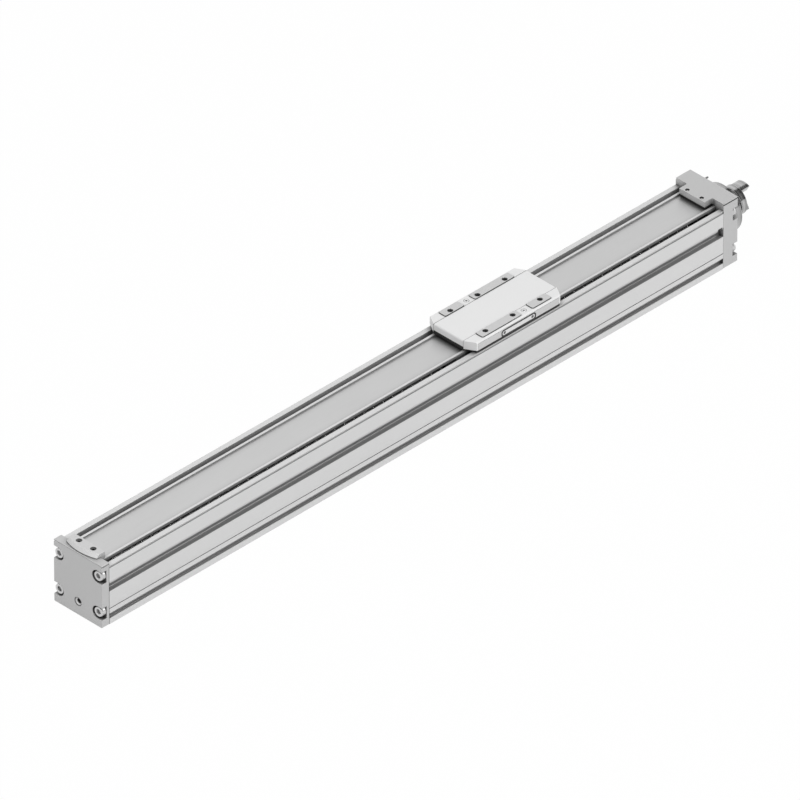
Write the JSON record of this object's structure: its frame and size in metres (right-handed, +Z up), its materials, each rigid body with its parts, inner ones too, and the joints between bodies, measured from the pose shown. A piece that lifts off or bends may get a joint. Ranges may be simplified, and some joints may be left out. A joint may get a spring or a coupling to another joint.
{
  "type": "electric linear actuator",
  "caption": "Screw-driven slide axis in an aluminium profile: a covered slide on top, end caps, and a coupling hub on the screw for a motor.",
  "frame": {"origin": "under the middle of the overall length, on the mounting surface and on the profile's centre plane", "axes": "+X from the idle end cap towards the drive end and coupling, +Z up from the mounting surface, -Y the side with the slide's side plate"},
  "size_m": [0.8346, 0.06, 0.0749],
  "materials": {
    "anodised_aluminium": "clear anodised extrusion, fine lengthwise die lines",
    "cap_aluminium": "milled and clear anodised, satin",
    "machined_aluminium": "machined, satin",
    "strip_steel": "stainless strip, brushed lengthwise",
    "screw_steel": "zinc-plated fasteners",
    "bearing_steel": "hardened and ground steel",
    "turned_steel": "turned steel, bright",
    "white_plastic": "moulded plastic, fine texture",
    "light_plate": "moulded plastic, light grey",
    "wiper_plastic": "dark moulded plastic",
    "buffer_rubber": "moulded rubber",
    "magnet_strip": "plastic-bonded magnet"
  },
  "bodies": {
    "base": {"profile_extrusion": "anodised_aluminium", "idle_end_cap": "cap_aluminium", "idle_cap_screws": "screw_steel", "drive_bearing_block": "cap_aluminium", "drive_block_screws": "screw_steel", "locating_pin": "turned_steel", "centring_collar": "turned_steel", "collar_screws": "screw_steel", "cover_carrier": "anodised_aluminium", "magnet_strips": "magnet_strip", "cover_strip": "strip_steel", "strip_clamp_idle": "cap_aluminium", "strip_clamp_screws": "screw_steel", "strip_clamp_drive": "wiper_plastic", "strip_grub_screws": "screw_steel", "guide_rail": "bearing_steel", "guide_rail_screws": "screw_steel", "buffer_idle": "buffer_rubber", "buffer_drive": "buffer_rubber", "drive_bearing_outer_ring": "bearing_steel", "drive_bearing_shields": "bearing_steel", "support_bearing_outer_ring": "bearing_steel", "support_bearing_shields": "bearing_steel"},
    "slide": {"slide_table": "machined_aluminium", "inner_carriage": "machined_aluminium", "table_screws": "screw_steel", "slide_cover": "white_plastic", "side_cover_near": "white_plastic", "side_cover_far": "white_plastic", "strip_wiper_idle": "wiper_plastic", "strip_wiper_drive": "wiper_plastic", "grease_nipples": "turned_steel", "side_plate": "light_plate", "side_plate_screws": "screw_steel", "runner_block_idle": "bearing_steel", "runner_block_drive": "bearing_steel", "runner_end_caps": "wiper_plastic", "runner_screws": "screw_steel", "ball_nut": "bearing_steel", "nut_screws": "screw_steel", "nut_wipers": "wiper_plastic"},
    "screw": {"ball_screw": "bearing_steel", "drive_bearing_inner_ring": "bearing_steel", "support_bearing_inner_ring": "bearing_steel", "support_circlip": "turned_steel", "shaft_lock_nut": "turned_steel", "coupling_hub": "turned_steel", "coupling_clamp_screw": "screw_steel"}
  },
  "joints": [
    {"name": "slide_travel", "type": "slide", "parent": "base", "child": "slide", "axis": [1, 0, 0], "range_m": [-0.425, 0.175]},
    {"name": "screw_spin", "type": "hinge", "parent": "base", "child": "screw", "pos_m": [0, 0, 0.0385], "axis": [1, 0, 0], "range_deg": [-5260, 12760]}
  ],
  "couplings": [
    {"joint": "screw_spin", "follows": "slide_travel", "rad_per_m": -523.6}
  ]
}
